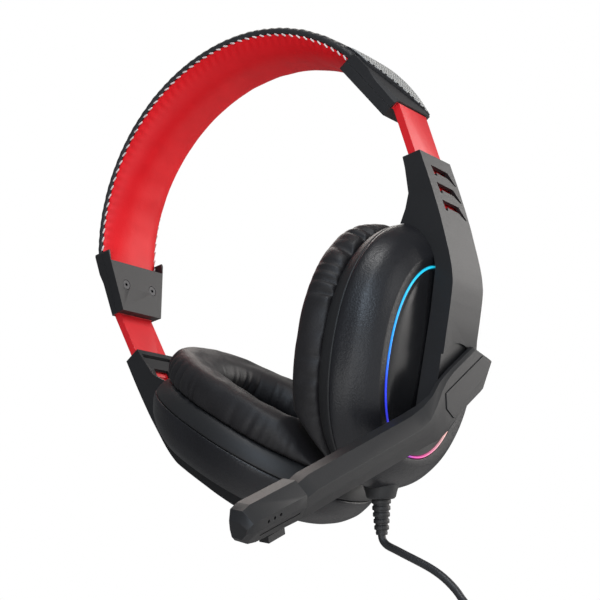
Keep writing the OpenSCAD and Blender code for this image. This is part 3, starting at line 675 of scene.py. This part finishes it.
def make_trim(side, name):
    """Wedge of perforated silver sheet over the end cap, in a frame of grey leatherette."""
    for part, grow, lift, mat, slot in (("frame", 1.3, -0.35, "black_leatherette", "black_leatherette"),
                                        ("trim", 0, 0, "perforated", "spring_steel")):
        rows, n = [], 30
        for i in range(n + 1):
            v = i / n
            row, under = [], []
            for j in range(n + 1):
                u = j / n
                back = TRIM_FRONT + TRIM_WIDTH * u
                low = TRIM_LOW - TRIM_SLANT * u - grow
                high = TRIM_TOP + grow
                up = low + (high - low) * v
                back = max(-14.6, min(15.2, back + (grow if u > 0.5 else -grow) * abs(2 * u - 1)))
                out = cover_height(up) + 0.85 + lift - 0.0012 * back * back
                row.append(cap_point(out, back, up, side))
                inner = out - 0.5 if part == "trim" else min(out - 0.9, 3.6)
                under.append(cap_point(inner, back, up, side))
            rows.append(row + under[::-1])
        mesh = grid_mesh(name + "_" + part, rows, caps=True)
        uv = mesh.uv_layers.new(name="sheet")
        for loop in mesh.loops:
            p = mesh.vertices[loop.vertex_index].co / MM
            q = Vector((abs(p.x), p.y, p.z)) - CAP_FOOT
            uv.data[loop.index].uv = (q.dot(CAP_UP) / HOLE_PITCH, q.y / HOLE_PITCH)
        outward(mesh)
        smooth(mesh, 50)
        link(name + "_" + part, mesh, MATS[mat], "headband")


make_pad()
make_cover()
make_stitches()
make_trim(1, "left")
make_trim(-1, "right")

# ---------------------------------------------------------------- microphone arm
refine("arm_beam", "boom", "mic_arm", 0.5, 3)
refine("arm_panel", "boom_panel", "mic_arm", 0.22, 2)
refine("mic_shell", "boom_tip", "mic_arm", 0.4, 2)
refine("mic_cover", "boom_tip_cover", "mic_arm", 0.2, 1)

# ---------------------------------------------------------------- lead
# From the cup's lower edge to the coil, in mm
ROUTE = [(-0.4, 0.7, -61.7), (-0.9, 0.9, -63.6), (0, 1, -66.2), (2.8, 1, -69.4), (6, 1, -73),
         (9.8, 1, -77.2), (13.9, 1, -82), (17.4, 1, -87.2), (20, 1.1, -93), (21.9, 0.3, -98.6),
         (25, -1.4, -103.8), (29.2, -2.75, -108.5)]
COIL_AT = Vector((22, 1.5, -131))
COIL_R, LEAD_D, LEAD_GAP = 16.5, 3.0, 3.04
COIL_ROWS, COIL_LANES = 4, 5
# Angles at which the coil starts and ends, the arc in which a turn slides over to the next lane, and
# how much earlier each later slide comes, in degrees
COIL_START, COIL_END = 60, -62
SHIFT_WIDE, SHIFT_STEP = 48, 36


def coil_points():
    """Turns of the coil in rows and lanes, one lead's width apart, each sliding over to the next."""
    lanes = []
    for row in range(COIL_ROWS):
        order = range(COIL_LANES)
        for lane in (order if row % 2 else reversed(order)):
            lanes.append((COIL_R + (lane - (COIL_LANES - 1) / 2) * LEAD_GAP,
                          (row - (COIL_ROWS - 1) / 2) * LEAD_GAP))
    pts = []
    step = 7.5
    total = 360 * (len(lanes) - 1) + COIL_START - COIL_END
    for i in range(int(total / step) + 1):
        swept = i * step
        turn = min(len(lanes) - 1, int(swept / 360))
        local = swept - 360 * turn
        late = 2 * (turn // COIL_LANES) + (1 if turn % COIL_LANES == COIL_LANES - 1 else 0)
        f = (local - (360 - SHIFT_WIDE - SHIFT_STEP * late)) / SHIFT_WIDE
        f = max(0, min(1, f))
        f = f * f * (3 - 2 * f)
        now, then = lanes[turn], lanes[min(len(lanes) - 1, turn + 1)]
        r, y = (a + (b - a) * f for a, b in zip(now, then))
        angle = math.radians(COIL_START - swept)
        pts.append(COIL_AT + Vector((r * math.cos(angle), y, r * math.sin(angle))))
    return pts


# From the coil to the plug, in mm
TAIL = [(29.1, 7.56, -152.8), (25.7, 7.2, -154.7), (23.3, 6.0, -157.2), (22.2, 4.0, -160),
        (22, 2.2, -162.6), (22, 1.6, -164.6)]
# The lead's exit in the cup's own frame
EXIT_AT = Vector((47, 0.4, 1.6))


def exit_frame():
    """Matrix of the lead's exit, in mm: z runs out of the cup's lower edge."""
    cup = Matrix.Translation(CUP_AT) @ Matrix.Rotation(math.pi / 2 + CUP_LEAN, 4, "Y")
    turn = Matrix.Rotation(math.radians(82), 4, "Y") @ Matrix.Rotation(math.radians(-6), 4, "X")
    return cup @ Matrix.Translation(EXIT_AT) @ turn


def round_all_over(z, t):
    return 1


def oval_at_foot(z, t):
    """Factor that makes the collar oval where it meets the cup and round 7 mm out."""
    return 1 + 0.14 * math.cos(2 * t) * max(0, 1 - z / 7)


def turned(name, profile, slot, replaces, wide=round_all_over, sides=64):
    """A piece turned about the exit's axis, from (radius, height) pairs in mm."""
    m = exit_frame()
    rows = []
    for r, z in profile:
        row = []
        for i in range(sides):
            t = 2 * math.pi * i / sides
            k = wide(z, t)
            row.append((m @ Vector((r * k * math.cos(t), r * k * math.sin(t), z))) * MM)
        rows.append(row)
    mesh = grid_mesh(name, rows, closed_rows=True)
    outward(mesh)
    smooth(mesh, 45)
    return link(name, mesh, MATS[slot], "left_side", replaces)


def make_tie():
    """Strap round the coil's section, a rounded rectangle."""
    rows = []
    at = COIL_AT + Vector((COIL_R, 0, 0))
    for grow, z in ((0, -3), (1, -3), (1.2, -2.6), (1.2, 2.6), (1, 3), (0, 3)):
        edge = [outline(7.9 + grow, 6.4 + grow, 2 * math.pi * k / 64, 5) for k in range(64)]
        rows.append([(at + Vector((x, y, z))) * MM for x, y in edge])
    mesh = grid_mesh("lead_tie", rows, closed_rows=True)
    outward(mesh)
    smooth(mesh, 45)
    return link("lead_tie", mesh, MATS["black_rubber"], "left_side", ["coil_tie"])


def make_boot():
    collar = [(2.2, 0.2), (6.4, 0.2), (6.3, 2.2), (5.9, 3.9), (5.6, 5.6), (5.1, 6.35), (4.4, 6.6), (2.2, 6.6)]
    block = turned("lead_boot_block", collar, "black_rubber", ["lead_collar"], oval_at_foot)
    foot, pitch, ribs = 6.7, 2.45, 5
    sleeve = [(1.55, foot)]
    for k in range(ribs):
        z0 = foot + pitch * k
        r = 3.7 - 0.22 * k
        sleeve += [(r - 0.15, z0), (r, z0 + 0.25), (r, z0 + 1.35), (r - 0.15, z0 + 1.6),
                   (r - 0.62, z0 + 1.7), (r - 0.65, z0 + 2.35)]
    sleeve += [(2.3, 19.1), (2.15, 20), (1.55, 20)]
    return [block, turned("lead_boot_sleeve", sleeve, "black_rubber", ["lead_sleeve"])]


def make_lead():
    coil = coil_points()
    lead_in = catmull(ROUTE + [tuple(coil[0]), tuple(coil[1])], 3)
    lead_out = catmull([tuple(coil[-2]), tuple(coil[-1])] + TAIL, 3)
    pts = [Vector(p) for p in lead_in[:-4]] + coil[:-1] + [Vector(p) for p in lead_out[3:]]
    curve = bpy.data.curves.new("lead_cable", "CURVE")
    curve.dimensions = "3D"
    spline = curve.splines.new("POLY")
    spline.points.add(len(pts) - 1)
    for i, p in enumerate(pts):
        spline.points[i].co = (*(p * MM), 1)
    curve.bevel_depth = LEAD_D / 2 * MM
    curve.bevel_resolution = 4
    curve.use_fill_caps = True
    obj = bpy.data.objects.new("lead_cable", curve)
    bpy.context.scene.collection.objects.link(obj)
    curve.materials.append(MATS["lead_jacket"])
    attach(obj, "left_side")
    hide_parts("lead", "lead_coil", "lead_tail")
    (make_boot() + [make_tie(),
                                       refine("plug_body", "plug_grip", "left_side", 0.8, 3),
                                       refine("plug_shell", "plug_metal_shell", "left_side", 0.06)])


make_lead()

# ---------------------------------------------------------------- floor
bpy.ops.mesh.primitive_plane_add(size=8, location=(0, 0, FLOOR_Z))
floor = bpy.context.object
floor.name = "floor"
set_material(floor, textured("floor_paint", (0.85, 0.85, 0.85), 0.8, 200, 0.0001, 0.02))
